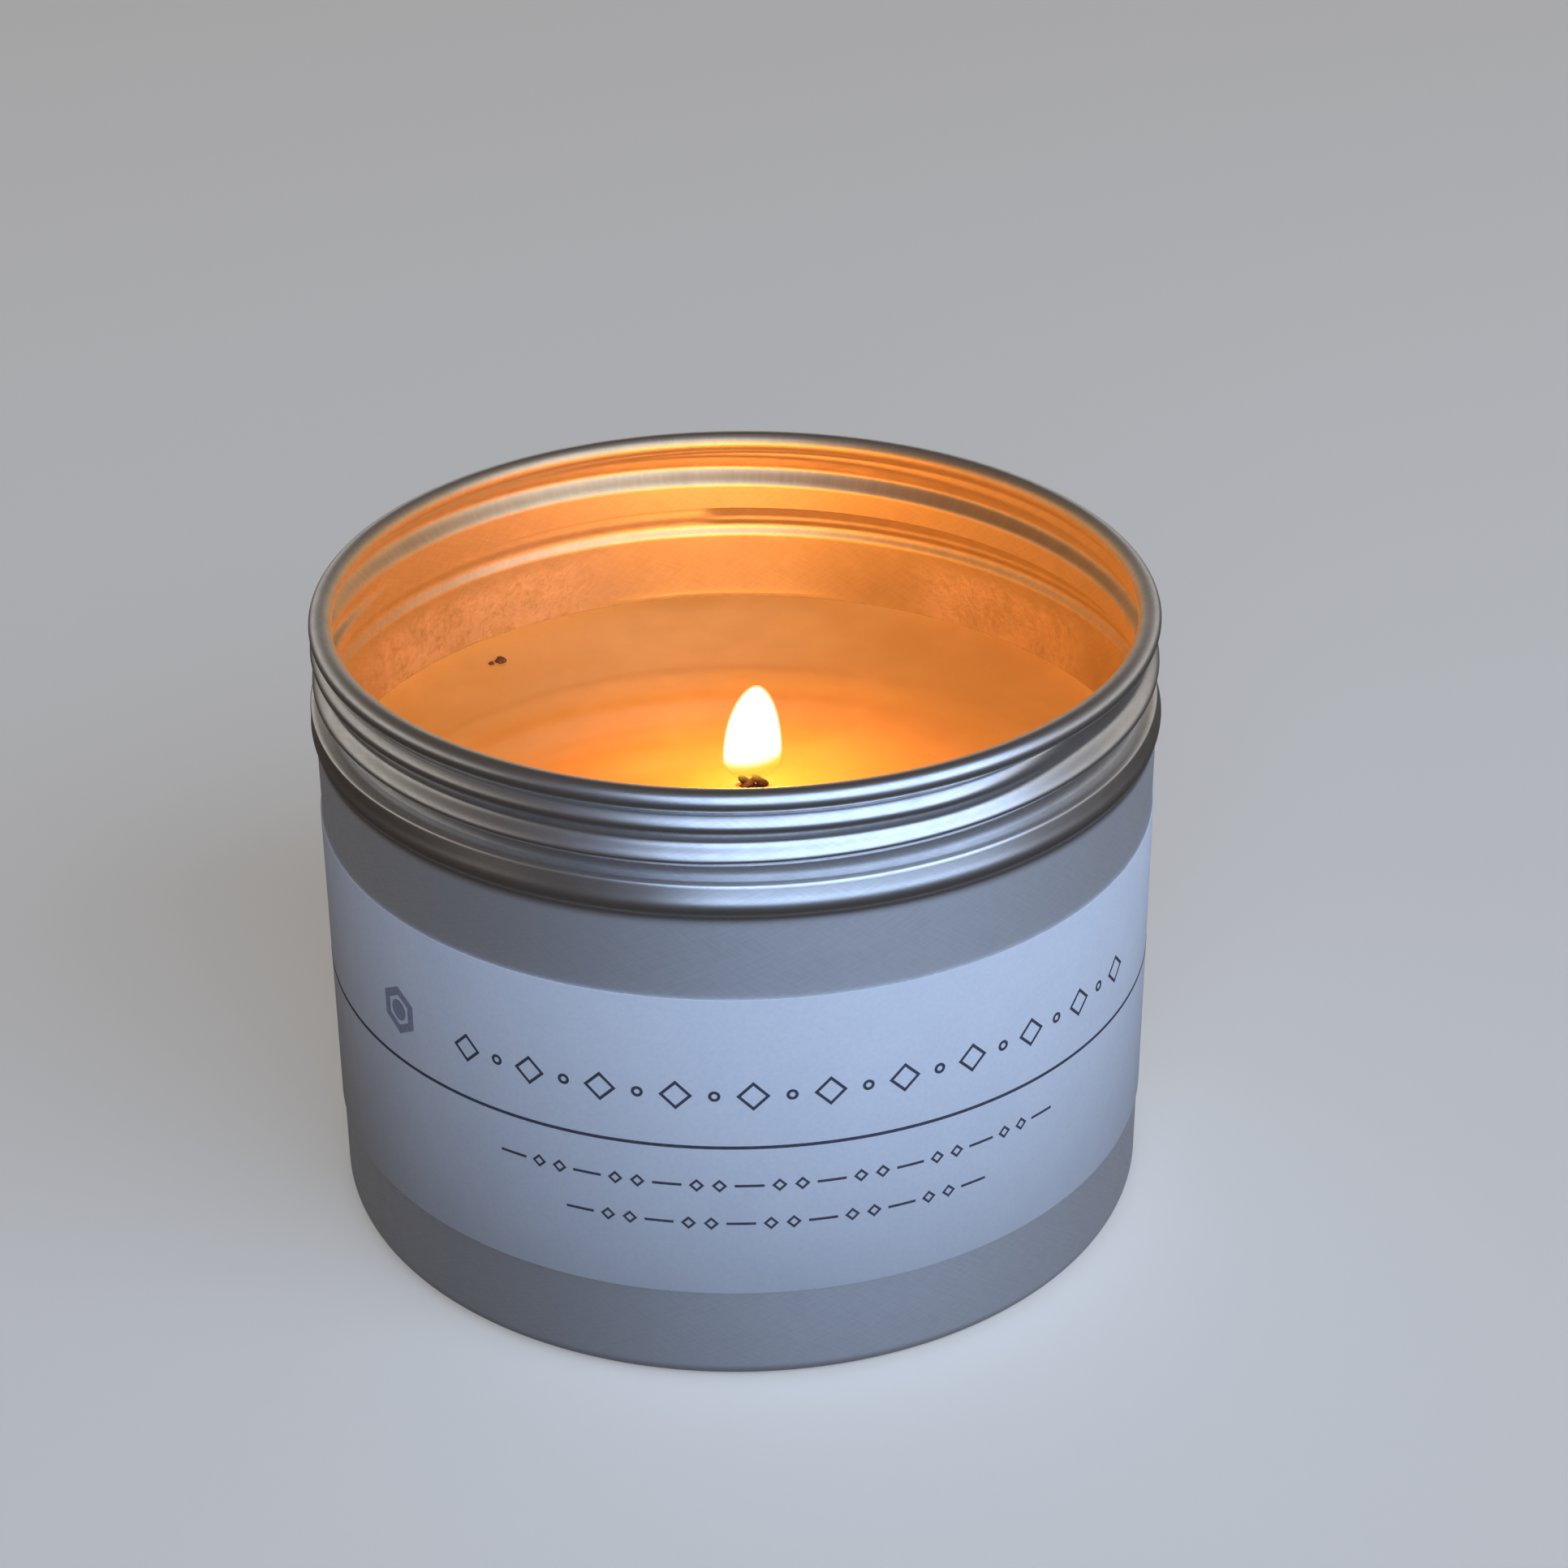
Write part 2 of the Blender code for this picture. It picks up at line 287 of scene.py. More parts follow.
# the tin: one drawn and rolled sheet
tin = {
    "segments": 288,
    "sheet": 0.4 * mm,
    "wallRadius": 33.0 * mm,
    "neckRadius": 32.1 * mm,
    "sideLow": 39.9 * mm,  # the bead's and neck's rows run from here
    "sideTop": 48.95 * mm,
    "sideRows": 66,
    "wallRows": (6 * mm, 14 * mm, 24 * mm, 34 * mm),
    "recessHeight": 0.9 * mm,
    "recessRows": (8 * mm, 16 * mm, 24 * mm, 27.6 * mm),
    "slopeFrom": 27.9 * mm,  # the recess runs down to the standing ring
    "slopeTo": 29.75 * mm,
    "slopeSteps": 6,
    "cornerRadius": 1.3 * mm,
    "roll": (31.97, 41.8, 1.38),  # millimetres: centre out, centre up, radius
    "shoulder": (32.59, 43.2, 0.43),
    "webFoot": (33.22, 42.4),
    "webHead": (33.02, 43.2),
    "wideWebFoot": (33.24, 41.7),
    "wideWebHead": (33.3, 43.2),
    "wideShoulder": (32.86, 43.2, 0.44),
    "softReach": (0.2, 0.07),  # how far the outline is softened, below the shoulder and above it
    "innerStep": (42.1, 0.45, 0.12),  # height, half width, depth
    "wideStart": (93.9, 95.1),  # degrees, where the two-step bead turns wide behind
    "wideEnd": (208.0, 242.0),
    "threadDepth": 0.9,
    "threadAbove": 1.6,  # half widths of the ridge over and under its crest
    "threadBelow": 0.75,
    "threadBelowRisen": 1.75,
    "threadLow": 45.3,  # millimetres, and level until it rises
    "threadRise": 2.7,
    "threadStart": -210.0,
    "threadEnd": 325.0,
    "riseFrom": -95.0,
    "riseOver": 260.0,
    "tuckFrom": 48.8,  # the ridge dies into the curl's underside
    "runIn": 35.0,
    "runOut": 30.0,
    "curl": (32.1 * mm, 49.835 * mm, 0.89 * mm, 0.865 * mm),
    "curlTurn": (-80.0, 225.0, 34),  # degrees above the outward direction, and steps
    "curlInside": (18, 26),  # the steps between which it passes over the rim
}


def roundOut(z, shape):
    out, up, radius = shape
    gap = radius * radius - (z - up) ** 2
    return out + math.sqrt(gap) if gap > 0 else 0.0


def beadRadius(z, wide):
    # the bead's outline before it is softened, all in millimetres
    wall = tin["wallRadius"] / mm if z < tin["roll"][1] else tin["neckRadius"] / mm
    shoulder = tin["wideShoulder"] if wide else tin["shoulder"]
    footR, footZ = tin["wideWebFoot"] if wide else tin["webFoot"]
    headR, headZ = tin["wideWebHead"] if wide else tin["webHead"]
    web = 0.0
    if footZ < z < headZ:
        web = footR + (headR - footR) * (z - footZ) / (headZ - footZ)
    return max(wall, roundOut(z, tin["roll"]), web, roundOut(z, shoulder))


def softBead(z, wide):
    reach = tin["softReach"][0] if z < tin["shoulder"][1] else tin["softReach"][1]
    return sum(beadRadius(z + reach * step, wide) for step in (-1.0, -0.5, 0.0, 0.5, 1.0)) / 5


def threadOut(azimuth, z):
    out = 0.0
    for turns in (-1, 0, 1):
        along = azimuth + 360.0 * turns
        if not tin["threadStart"] < along < tin["threadEnd"]:
            continue
        risen = min(1.0, max(0.0, (along - tin["riseFrom"]) / tin["riseOver"]))
        height = tin["threadLow"] + tin["threadRise"] * risen
        below = tin["threadBelow"] + (tin["threadBelowRisen"] - tin["threadBelow"]) * risen
        across = (z - height) / (tin["threadAbove"] if z > height else below)
        ramp = softStep(0.0, tin["runIn"], along - tin["threadStart"])
        ramp *= softStep(0.0, tin["runOut"], tin["threadEnd"] - along)
        if abs(across) < 1.0:
            out += tin["threadDepth"] * ramp * math.cos(across * math.pi / 2) ** 2
    return out * softStep(tin["sideTop"] / mm, tin["tuckFrom"], z)


def baseOutline(lift):
    # from the axis over the recess and the standing ring to the foot of the wall
    corner = tin["cornerRadius"]
    wall = tin["wallRadius"]
    points = [(0.0, tin["recessHeight"] + lift)]
    points += [(out, tin["recessHeight"] + lift) for out in tin["recessRows"]]
    for i in range(tin["slopeSteps"] + 1):
        share = i / tin["slopeSteps"]
        out = tin["slopeFrom"] + share * (tin["slopeTo"] - tin["slopeFrom"])
        points.append((out, tin["recessHeight"] * (1.0 - softStep(0.0, 1.0, share)) + lift))
    points += arc(wall - corner, corner, corner - lift, corner - lift, -90.0, 0.0, 12)
    return points


def makeTinShell(mat):
    rows = tin["sideRows"]
    step = (tin["sideTop"] - tin["sideLow"]) / rows
    heights = list(tin["wallRows"]) + [tin["sideLow"] + step * i for i in range(rows + 1)]
    wall = tin["wallRadius"]
    outer = baseOutline(0.0) + [(wall, z) for z in heights]
    inner = baseOutline(tin["sheet"]) + [(wall - tin["sheet"], z) for z in heights]
    curl = arc(*tin["curl"], *tin["curlTurn"])
    marks = [0.0] * len(outer)
    marks += [softStep(*tin["curlInside"], i) for i in range(len(curl))]
    marks += [1.0] * len(inner)
    bm = spinSection(outer + curl + inner[::-1], tin["segments"], True, inside=marks)
    # the straight side is pushed out to the bead, the neck and the thread
    near = mm / 100
    outlines = {}
    for vert in bm.verts:
        x, y, z = vert.co
        radius = math.hypot(x, y)
        if z < tin["sideLow"] - near or z > tin["sideTop"] + near:
            continue
        skin = 0.0 if abs(radius - wall) < near else tin["sheet"]
        if skin and abs(radius - wall + tin["sheet"]) > near:
            continue
        azimuth = math.degrees(math.atan2(y, x))
        turned = azimuth % 360.0
        key = round(z / mm, 4)
        if key not in outlines:
            outlines[key] = (softBead(z / mm, False), softBead(z / mm, True))
        wide = softStep(*tin["wideStart"], turned) * (1.0 - softStep(*tin["wideEnd"], turned))
        narrowR, wideR = outlines[key]
        wanted = (narrowR + (wideR - narrowR) * wide + threadOut(azimuth, z / mm)) * mm - skin
        if skin:
            stepZ, stepHalf, stepDepth = tin["innerStep"]
            wanted -= stepDepth * mm * (1.0 - wide) * softStep(stepHalf, 0.0, abs(z / mm - stepZ))
        vert.co.x = x * wanted / radius
        vert.co.y = y * wanted / radius
    wrapUv(bm, wall)
    return finishPiece("tinShell", bm, mat, ["tin_body"], 50.0)


aluminium = {
    "colour": "#f0f1f3",
    "shade": "#d8d9db",
    "roughness": 0.66,
    "roughnessSpread": 0.05,
    "rolledRoughness": 0.36,
    "rubbedShine": 0.04,
    "grainWidth": 0.22,  # millimetres, several times the real one so that it shows
    "grainLength": 2.4,
    "grainTurns": (38.0, -24.0),  # degrees
    "mottle": 2.2,
    "grainDepth": 0.004 * mm,
    # painted warm light of the flame, laid over the inner wall
    "paintedFlameWarmth": "#f2d9ab",
    "filmColour": "#ecc99c",
    "filmGrain": 0.55,
    "filmShare": 0.85,
    "filmDepth": 0.03 * mm,
    "insideRoughness": 0.47,
    "filmHeights": (34.0, 34.8, 38.6, 40.6),  # millimetres: fades in, then out
    "filmTurns": ((22, 36, 56, 68), (106, 120, 152, 168)),  # degrees, one patch each
    "filmClumps": 2.6,
    "rolledHeights": (40.0, 41.0),
    "crestRadii": (32.85, 33.2),
}


def fadeBetween(mat, value, stops):
    # 0 below the first stop, 1 between the middle two, 0 again above the last
    rising = remap(mat, value, stops[0], stops[1], 0.0, 1.0, "SMOOTHSTEP")
    falling = remap(mat, value, stops[2], stops[3], 1.0, 0.0, "SMOOTHSTEP")
    return math2(mat, "MULTIPLY", rising, falling)


def satinAluminium():
    # rolled aluminium sheet under clear lacquer: a soft even shine with short crossed grain
    mat, shader = newMaterial("satinRolledAluminium", {"Metallic": 1.0})
    width = aluminium["grainWidth"]
    length = aluminium["grainLength"]
    ways = [surfaceMm(mat, turn, (length, width)) for turn in aluminium["grainTurns"]]
    grain = math2(mat, "ADD", *[noiseOf(mat, way, 1.0, 3.0) for way in ways])
    mottle = noiseOf(mat, surfaceMm(mat), aluminium["mottle"], 4.0, 0.6)
    tone = math2(mat, "ADD", math2(mat, "MULTIPLY", grain, 0.5), math2(mat, "MULTIPLY", mottle, 0.6))
    share = remap(mat, tone, 0.5, 1.1, 0.0, 1.0)
    colour = mixColour(mat, share, linear(aluminium["shade"]), linear(aluminium["colour"]))
    matt = aluminium["roughness"] + aluminium["roughnessSpread"]
    bright = aluminium["roughness"] - aluminium["roughnessSpread"]
    plain = remap(mat, tone, 0.5, 1.1, matt, bright)
    # wax splashed on the inner wall above the pool, in two patches behind
    place = objectMm(mat)
    axes = addNode(mat, "SeparateXYZ", inputs={0: place})
    x, y, z = axes.outputs
    squares = math2(mat, "ADD", math2(mat, "MULTIPLY", x, x), math2(mat, "MULTIPLY", y, y))
    radius = math2(mat, "SQRT", squares)
    azimuth = math2(mat, "MULTIPLY", math2(mat, "ARCTAN2", y, x), 180 / math.pi)
    inside = addNode(mat, "Attribute", {"attribute_name": "inside"}).outputs["Fac"]
    right, left = [fadeBetween(mat, azimuth, turns) for turns in aluminium["filmTurns"]]
    patches = math2(mat, "MAXIMUM", right, left)
    specks = noiseOf(mat, place, aluminium["filmGrain"], 4.0, 0.65)
    clumps = noiseOf(mat, place, aluminium["filmClumps"], 2.0)
    spread = math2(mat, "ADD", specks, math2(mat, "MULTIPLY", clumps, 0.6))
    speckled = remap(mat, spread, 0.6, 1.0, 0.0, 1.0)
    heights = fadeBetween(mat, z, aluminium["filmHeights"])
    zone = math2(mat, "MULTIPLY", math2(mat, "MULTIPLY", inside, patches), heights)
    film = math2(mat, "MULTIPLY", math2(mat, "MULTIPLY", zone, speckled), aluminium["filmShare"])
    # the whole inside is tinted warm: painted light of the flame on the inner wall
    warmTintedInside = mixColour(mat, inside, colour, linear(aluminium["paintedFlameWarmth"]), "MULTIPLY")
    painted = mixColour(mat, film, warmTintedInside, linear(aluminium["filmColour"]))
    plug(mat, painted, shader.inputs["Base Color"])
    plug(mat, remap(mat, film, 0.0, 1.0, 1.0, 0.7), shader.inputs["Metallic"])
    # rolling has ironed the bead and thread smoother, and the lid has rubbed their crests
    crest = remap(mat, radius, *aluminium["crestRadii"], 0.0, aluminium["rubbedShine"], "SMOOTHSTEP")
    high = remap(mat, z, *aluminium["rolledHeights"], 0.0, 1.0, "SMOOTHSTEP")
    rolled = math2(mat, "MULTIPLY", high, math2(mat, "SUBTRACT", 1.0, inside))
    ironing = math2(mat, "MULTIPLY", rolled, aluminium["roughness"] - aluminium["rolledRoughness"])
    ironed = math2(mat, "SUBTRACT", plain, ironing)
    rubbed = math2(mat, "SUBTRACT", ironed, math2(mat, "MULTIPLY", crest, high))
    # inside, a thin coat of wax vapour gives the metal one even shine
    even = addNode(mat, "Mix", inputs={0: inside, 2: rubbed, 3: aluminium["insideRoughness"]}).outputs[0]
    waxed = math2(mat, "ADD", even, math2(mat, "MULTIPLY", film, 0.12))
    plug(mat, waxed, shader.inputs["Roughness"])
    fine = bumpFrom(mat, grain, aluminium["grainDepth"], 0.6)
    inputs = {"Height": film, "Distance": aluminium["filmDepth"], "Normal": fine}
    lumps = addNode(mat, "Bump", inputs=inputs).outputs["Normal"]
    plug(mat, lumps, shader.inputs["Normal"])
    return mat


makeTinShell(satinAluminium())
print("tin made")


# the labels
label = {
    "segments": 280,
    "paper": 0.12 * mm,
    "standOff": 0.02 * mm,
    "knifeEdge": 0.03 * mm,  # the knife leaves the face's edge a little soft
    "gapFrom": 90.0,  # degrees: its ends don't meet behind
    "gapTo": 95.6,
    "paperColour": "#eceef2",
    "fibreColour": "#dfe2e9",
    "cloud": 5.0,  # millimetres
    "fibre": 0.35,  # felted bundles, since a single fibre is too fine to show
    "stickerColour": "#ebebe6",
    "stickerFibreColour": "#dededa",
    "inkDark": "#4a4954",
    "inkGrey": "#9a9cab",
    "inkDepth": 0.02 * mm,
    "inkAbove": 0.8,  # the share of its depth that stands over the paper
    "barStep": 0.6 * mm,
    "ruleHeight": 21.4 * mm,
    "ruleWidth": 0.27 * mm,
}
paperFace = tin["wallRadius"] + label["standOff"] + label["paper"]


def labelPaper(name, colour, fibreColour):
    # uncoated label stock: matt, very slightly cloudy, with fine felted fibres
    mat, shader = newMaterial(name, {"Roughness": 0.62, "Specular IOR Level": 0.35})
    place = objectMm(mat)
    cloud = noiseOf(mat, place, label["cloud"], 3.0)
    fibres = noiseOf(mat, place, label["fibre"], 5.0, 0.7)
    tone = math2(mat, "ADD", math2(mat, "MULTIPLY", cloud, 0.3), math2(mat, "MULTIPLY", fibres, 0.7))
    share = remap(mat, tone, 0.3, 0.7, 0.0, 1.0)
    plug(mat, mixColour(mat, share, linear(fibreColour), linear(colour)), shader.inputs["Base Color"])
    plug(mat, remap(mat, fibres, 0.3, 0.7, 0.56, 0.68), shader.inputs["Roughness"])
    plug(mat, bumpFrom(mat, fibres, 0.008 * mm, 0.7), shader.inputs["Normal"])
    return mat


def printedInk(name, colour):
    # offset ink soaked into the paper: matt, a little uneven, edges breaking on the fibres
    mat, shader = newMaterial(name, {"Specular IOR Level": 0.3})
    place = objectMm(mat)
    fibres = noiseOf(mat, place, label["fibre"], 5.0, 0.7)
    worn = [min(1.0, c * 1.6 + 0.02) for c in linear(colour)[:3]] + [1.0]
    share = remap(mat, fibres, 0.35, 0.7, 0.0, 0.6)
    plug(mat, mixColour(mat, share, linear(colour), worn), shader.inputs["Base Color"])
    plug(mat, remap(mat, fibres, 0.3, 0.7, 0.5, 0.65), shader.inputs["Roughness"])
    plug(mat, bumpFrom(mat, fibres, 0.004 * mm, 0.5), shader.inputs["Normal"])
    return mat


def wrapRound(section):
    # the section turned from one side of the gap to the other, with its ends closed
    span = math.radians(360.0 - label["gapTo"] + label["gapFrom"])
    bm = spinSection(section, label["segments"], True, span)
    bmesh.ops.holes_fill(bm, edges=bm.edges, sides=len(section))
    turn = Matrix.Rotation(math.radians(label["gapTo"]), 4, "Z")
    bmesh.ops.transform(bm, matrix=turn, verts=bm.verts)
    return bm


def makeWrapLabel(mat):
    inner = tin["wallRadius"] + label["standOff"]
    outer = paperFace
    low, top = labelLow.z, labelHigh.z
    edge = label["knifeEdge"]
    section = [(inner, low), (outer - edge, low), (outer, low + edge), (outer, (low + top) / 2),
               (outer, top - edge), (outer - edge, top), (inner, top)]
    return finishPiece("wrapLabel", wrapRound(section), mat, ["wrap_label"], 50.0)


def bend(bm):
    # lays flat print, drawn as (azimuth length, 0, height) with its face at y = 0, on the label
    for vert in bm.verts:
        angle = vert.co.x / paperFace
        out = paperFace + label["inkDepth"] * label["inkAbove"] - vert.co.y
        vert.co = (out * math.cos(angle), out * math.sin(angle), vert.co.z)


def addOutline(bm, x, z, size, corners, stroke):
    # a thin printed ring, or a solid spot if it has no stroke: a diamond, a hexagon or a round
    ring = bmesh.ops.create_circle(bm, cap_ends=True, segments=corners, radius=0.5)["verts"]
    spot = Matrix.Translation((x, 0.0, z)) @ Matrix.Diagonal((size, 1.0, size, 1.0))
    spot = spot @ Matrix.Rotation(math.pi / 2, 4, "X")
    bmesh.ops.transform(bm, matrix=spot, verts=ring)
    face = ring[0].link_faces[0]
    face.normal_update()
    if stroke:
        inset = bmesh.ops.inset_region(bm, faces=[face], thickness=stroke, use_boundary=True,
                                       use_even_offset=True)["faces"]
        bmesh.ops.delete(bm, geom=[face], context="FACES")
    else:
        inset = [face]
    raised = bmesh.ops.extrude_face_region(bm, geom=inset, use_keep_orig=True)
    verts = [item for item in raised["geom"] if isinstance(item, bmesh.types.BMVert)]
    bmesh.ops.translate(bm, verts=verts, vec=(0.0, label["inkDepth"], 0.0))


def addBar(bm, x, z, length, height):
    size = Matrix.Diagonal((length, label["inkDepth"], height, 1.0))
    place = Matrix.Translation((x, label["inkDepth"] / 2, z))
    made = bmesh.ops.create_cube(bm, size=1.0, matrix=place @ size)["verts"]
    longEdges = {edge for vert in made for edge in vert.link_edges
                 if abs(edge.verts[0].co.x - edge.verts[1].co.x) > length / 2}
    cuts = max(1, int(length / label["barStep"]))  # so that it can follow the tin's curve
    bmesh.ops.subdivide_edges(bm, edges=list(longEdges), cuts=cuts, use_grid_fill=True)


def lengthAt(azimuth):
    return math.radians(azimuth) * paperFace


ornament = {
    "from": -127.0,
    "to": -28.5,
    "height": 25.9 * mm,
    "size": 2.5 * mm,
    "repeats": 21,
    "stroke": 0.23 * mm,
    "ring": 0.9 * mm,
    "lowerRows": ((18.0 * mm, -122.0, -47.5), (14.6 * mm, -112.5, -56.0)),  # height, from, to
    "small": 1.15 * mm,
    "smallStroke": 0.184 * mm,
    "dash": 2.2 * mm,
    "gap": 0.55 * mm,
    "dashHeight": 0.22 * mm,
    "markAzimuth": -140.3,
    "markHeight": 25.9 * mm,
    "markSize": 4.2 * mm,
    "markStroke": 0.16,  # shares of its size
    "markDot": 0.42,
}


def makeLabelPrint(mat):
    # a fine rule all the way round, and rows of plain ornament in place of lettering
    half = label["ruleWidth"] / 2
    z = label["ruleHeight"]
    low = paperFace - label["inkDepth"] * (1.0 - label["inkAbove"])
    high = paperFace + label["inkDepth"] * label["inkAbove"]
    bm = wrapRound([(low, z - half), (high, z - half), (high, z + half), (low, z + half)])
    flat = bmesh.new()
    start = lengthAt(ornament["from"])
    step = (lengthAt(ornament["to"]) - start) / (ornament["repeats"] - 1)
    for i in range(ornament["repeats"]):
        size, corners = (ornament["ring"], 20) if i % 2 else (ornament["size"], 4)
        addOutline(flat, start + step * i, ornament["height"], size, corners, ornament["stroke"])
    for height, first, last in ornament["lowerRows"]:
        x = lengthAt(first)
        i = 0
        while x < lengthAt(last):
            size = ornament["small"] if i % 3 else ornament["dash"]
            if i % 3:
                addOutline(flat, x + size / 2, height, size, 4, ornament["smallStroke"])
            else:
                addBar(flat, x + size / 2, height, size, ornament["dashHeight"])
            x += size + ornament["gap"]
            i += 1
    bend(flat)
    joined = bpy.data.meshes.new("flat")
    flat.to_mesh(joined)
    flat.free()
    bm.from_mesh(joined)
    bpy.data.meshes.remove(joined)
    return finishPiece("labelPrint", bm, mat)


def makeLabelMark(mat):
    # a six-sided ring round a dot is the plain mark at the head of the row
    flat = bmesh.new()
    x = lengthAt(ornament["markAzimuth"])
    size = ornament["markSize"]
    addOutline(flat, x, ornament["markHeight"], size, 6, size * ornament["markStroke"])
    addOutline(flat, x, ornament["markHeight"], size * ornament["markDot"], 24, 0.0)
    bend(flat)
    return finishPiece("labelMark", flat, mat)


def makeBaseLabel(mat):
    low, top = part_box("base_label")
    radius = top.x
    edge = label["knifeEdge"]
    section = [(0.0, low.z), (radius / 2, low.z), (radius - edge, low.z), (radius, low.z + edge),
               (radius, top.z), (radius / 2, top.z), (0.0, top.z)]
    bm = spinSection(section, 144, False)
    return finishPiece("baseLabel", bm, mat, ["base_label"])


makeWrapLabel(labelPaper("uncoatedLabelPaper", label["paperColour"], label["fibreColour"]))
makeLabelPrint(printedInk("darkGreyInk", label["inkDark"]))
makeLabelMark(printedInk("paleGreyInk", label["inkGrey"]))
makeBaseLabel(labelPaper("blankStickerPaper", label["stickerColour"], label["stickerFibreColour"]))
print("labels made")


# wax, pool, wick and its holder
pool = {
    "segments": 160,
    "rings": 44,
    "wallGap": 0.03 * mm,
    "wallRise": 0.45 * mm,
    "wallReach": 0.8 * mm,
    "wickRise": 0.28 * mm,
    "wickReach": 0.5 * mm,
    "bedEdge": 31.7 * mm,
    "bedMiddle": 28.7 * mm,
    "hole": (1.36 * mm, 0.58 * mm),  # the oval round the wick
    "cloud": 14.0,  # millimetres
    "wisp": 4.0,
    "colour": "#cd8f4c",
    "deepColour": "#c0803c",
    "setColour": "#ecd9b4",
    "frostColour": "#f4e8cf",
    # painted glow of the flame in the melt, stronger near the wick
    "glowColour": "#ffab4f",
    "glowNear": 0.3,
    "glowFar": 0.21,
    "glowReach": 14.0,  # millimetres
}


def makeMeltPool(mat):
    wallRadius = tin["wallRadius"] - tin["sheet"] - pool["wallGap"]
    shares = [(1 - math.cos(math.pi * i / pool["rings"])) / 2 for i in range(pool["rings"] + 1)]
    top = []
    for share in shares:
        fromWall = (1 - share) * wallRadius
        fromWick = share * wallRadius
        rise = pool["wallRise"] * math.exp(-fromWall / pool["wallReach"])
        rise += pool["wickRise"] * math.exp(-fromWick / pool["wickReach"])
        top.append((1 + share, poolTop + rise))
    bed = [(1 + s, pool["bedMiddle"] + (pool["bedEdge"] - pool["bedMiddle"]) * s * s) for s in shares[::4]]
    bm = spinSection(top + bed[::-1], pool["segments"], True)
    # the section was turned at unit size: lay it out between the oval round the wick and the wall
    for vert in bm.verts:
        angle = math.atan2(vert.co.y, vert.co.x)
        share = math.hypot(vert.co.x, vert.co.y) - 1
        nearX = wickX + pool["hole"][0] * math.cos(angle)
        nearY = wickY + pool["hole"][1] * math.sin(angle)
        vert.co.x = nearX + (wallRadius * math.cos(angle) - nearX) * share
        vert.co.y = nearY + (wallRadius * math.sin(angle) - nearY) * share
    return finishPiece("meltedWax", bm, mat, ["melt_pool"], 60.0)


def meltedWax():
    # soy wax melted to a clear syrup over its pale bed: wet and smooth, warm all through
    values = {"Roughness": 0.09, "IOR": 1.44, "Subsurface Weight": 0.25, "Subsurface Scale": 0.004,
              "Subsurface Radius": (1.0, 0.5, 0.2)}
    mat, shader = newMaterial("meltedSoyWax", values)
    place = objectMm(mat)
    depth = noiseOf(mat, place, pool["cloud"], 2.0)
    wisps = noiseOf(mat, place, pool["wisp"], 3.0)
    tone = math2(mat, "ADD", math2(mat, "MULTIPLY", depth, 0.75), math2(mat, "MULTIPLY", wisps, 0.25))
    share = remap(mat, tone, 0.4, 0.62, 0.0, 1.0, "SMOOTHSTEP")
    colour = mixColour(mat, share, linear(pool["deepColour"]), linear(pool["colour"]))
    plug(mat, colour, shader.inputs["Base Color"])
    plug(mat, remap(mat, wisps, 0.3, 0.7, 0.07, 0.11), shader.inputs["Roughness"])
    plug(mat, bumpFrom(mat, depth, 0.05 * mm, 0.3), shader.inputs["Normal"])
    # painted glow: emission for the flame's light scattered through the melt and its pale bed
    flameFoot = (wickX / mm, wickY / mm, poolTop / mm)
    away = addNode(mat, "VectorMath", {"operation": "DISTANCE"}, {0: place, 1: flameFoot}).outputs["Value"]
    fading = math2(mat, "EXPONENT", math2(mat, "MULTIPLY", away, -1 / pool["glowReach"]))
    glow = remap(mat, fading, 0.0, 1.0, pool["glowFar"], pool["glowNear"])
    plug(mat, glow, shader.inputs["Emission Strength"])
    shader.inputs["Emission Color"].default_value = linear(pool["glowColour"])
    return mat


def setWax():
    # set soy wax: creamy, satin, faintly frosted where it crystallises
    values = {"Roughness": 0.45, "IOR": 1.44, "Subsurface Weight": 0.3, "Subsurface Scale": 0.003,
              "Subsurface Radius": (1.0, 0.7, 0.45)}
    mat, shader = newMaterial("setSoyWax", values)
    place = objectMm(mat)
    frost = noiseOf(mat, place, 3.0, 5.0, 0.65)
    grains = noiseOf(mat, place, 0.4, 2.0)
    share = remap(mat, frost, 0.35, 0.65, 0.0, 1.0)
    colour = mixColour(mat, share, linear(pool["setColour"]), linear(pool["frostColour"]))
    plug(mat, colour, shader.inputs["Base Color"])
    plug(mat, remap(mat, frost, 0.3, 0.7, 0.4, 0.55), shader.inputs["Roughness"])
    plug(mat, bumpFrom(mat, grains, 0.02 * mm, 0.5), shader.inputs["Normal"])
    return mat


wick = {
    "strandWidth": 0.5 * mm,
    "strandDepth": 0.33 * mm,
    "sway": 0.82 * mm,
    "over": 0.21 * mm,
    "pitch": 3.6 * mm,
    "ringStep": 0.22 * mm,
    "sides": 14,
    "tops": (0.9 * mm, 1.2 * mm, 1.1 * mm),  # how far each burnt strand stands out of the pool
    "cotton": "#efe6d2",
    "soaked": "#d9b98a",
    "char": "#2e1a0e",
    "ember": "#d8722c",
    "emberGlow": 0.15,
    "yarnScale": 2.6,  # yarns 0.24 mm apart
}


